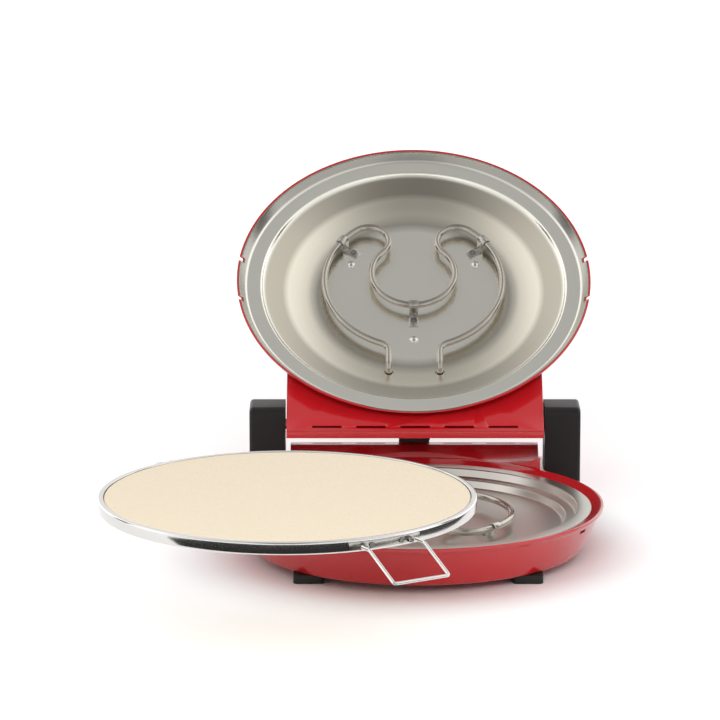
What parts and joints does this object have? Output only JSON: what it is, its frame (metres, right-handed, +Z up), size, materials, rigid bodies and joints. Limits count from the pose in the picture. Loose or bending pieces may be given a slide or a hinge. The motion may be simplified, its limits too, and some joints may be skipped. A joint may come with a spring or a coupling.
{
  "type": "electric pizza maker",
  "caption": "Round electric pizza maker with a domed hinged lid, a heated bowl-shaped base and a lift-out baking stone with folding wire handles.",
  "frame": {"origin": "centre of the round base at the surface it stands on", "axes": "+X to the right seen from the front, +Y to the hinge at the rear, +Z up"},
  "size_m": [0.4507, 0.9916, 0.3141],
  "materials": {
    "red_enamel": "gloss enamel",
    "liner_steel": "bright polished",
    "steel": "satin",
    "black_rubber": "matt",
    "black_plastic": "satin black",
    "element_tube": "dark oxidised",
    "ceramic": "matt ceramic",
    "stone": "matt cordierite",
    "control_case": "moulded case",
    "lamp_lens": "tinted lens"
  },
  "bodies": {
    "base": {"base_shell": "red_enamel", "base_liner": "liner_steel", "bottom_plate": "steel", "rear_housing": "red_enamel", "foot_front_left": "black_rubber", "foot_front_right": "black_rubber", "foot_rear_left": "black_rubber", "foot_rear_right": "black_rubber", "foot_screws": "steel", "hinge_post_left": "black_plastic", "hinge_post_right": "black_plastic", "post_screws": "steel", "lower_element": "element_tube", "lower_clip_left": "steel", "lower_clip_right": "steel", "lower_clip_centre": "steel", "lower_clip_screws": "steel", "lower_rivets": "steel", "lower_terminals": "ceramic", "terminal_block": "ceramic", "cord_gland": "black_rubber", "wiring_sleeve": "black_rubber"},
    "lid": {"lid_shell": "red_enamel", "lid_liner": "liner_steel", "lid_rear_panel": "red_enamel", "hinge_pin_left": "steel", "hinge_pin_right": "steel", "upper_element": "element_tube", "upper_clip_left": "steel", "upper_clip_right": "steel", "upper_clip_centre": "steel", "upper_clip_screws": "steel", "upper_rivets": "steel", "upper_terminals": "ceramic", "grip": "black_plastic", "grip_screws": "steel", "thermostat": "control_case", "timer": "control_case", "pilot_lamps": "lamp_lens"},
    "thermostat_dial": {"thermostat_knob": "black_plastic"},
    "timer_dial": {"timer_knob": "black_plastic"},
    "stone": {"pizza_stone": "stone"},
    "band": {"stone_band": "steel", "bracket_front": "steel", "bracket_rear": "steel", "bracket_rivets": "steel"},
    "front_wire": {"handle_front": "steel"},
    "rear_wire": {"handle_rear": "steel"}
  },
  "joints": [
    {"name": "lid_hinge", "type": "hinge", "parent": "base", "child": "lid", "pos_m": [0, 0.158, 0.0853], "axis": [1, 0, 0], "range_deg": [0, 143.35], "deforming": ["wiring_sleeve"]},
    {"name": "stone_slide", "type": "slide", "parent": "base", "child": "stone", "axis": [0.2978, 0.9266, -0.2295], "range_m": [0, 0.38516]},
    {"name": "band_turn", "type": "hinge", "parent": "stone", "child": "band", "pos_m": [-0.1147, -0.3569, 0.133], "axis": [0, 0, 1], "range_deg": [0, 59]},
    {"name": "front_wire_fold", "type": "hinge", "parent": "band", "child": "front_wire", "pos_m": [-0.02998, -0.49791, 0.139], "axis": [0.8572, 0.515, 0], "range_deg": [-75, 0]},
    {"name": "rear_wire_fold", "type": "hinge", "parent": "band", "child": "rear_wire", "pos_m": [-0.19942, -0.21589, 0.139], "axis": [-0.8572, -0.515, 0], "range_deg": [-75, 0]},
    {"name": "thermostat_turn", "type": "hinge", "parent": "lid", "child": "thermostat_dial", "pos_m": [-0.055, 0.2013, 0.1042], "axis": [0, 0.5969, -0.8023], "range_deg": [0, 270]},
    {"name": "timer_turn", "type": "hinge", "parent": "lid", "child": "timer_dial", "pos_m": [0.055, 0.2013, 0.1042], "axis": [0, 0.5969, -0.8023], "range_deg": [0, 300]}
  ],
  "couplings": [
    {"joint": "band_turn", "follows": "stone_slide", "rad_per_m": 2.6735}
  ]
}
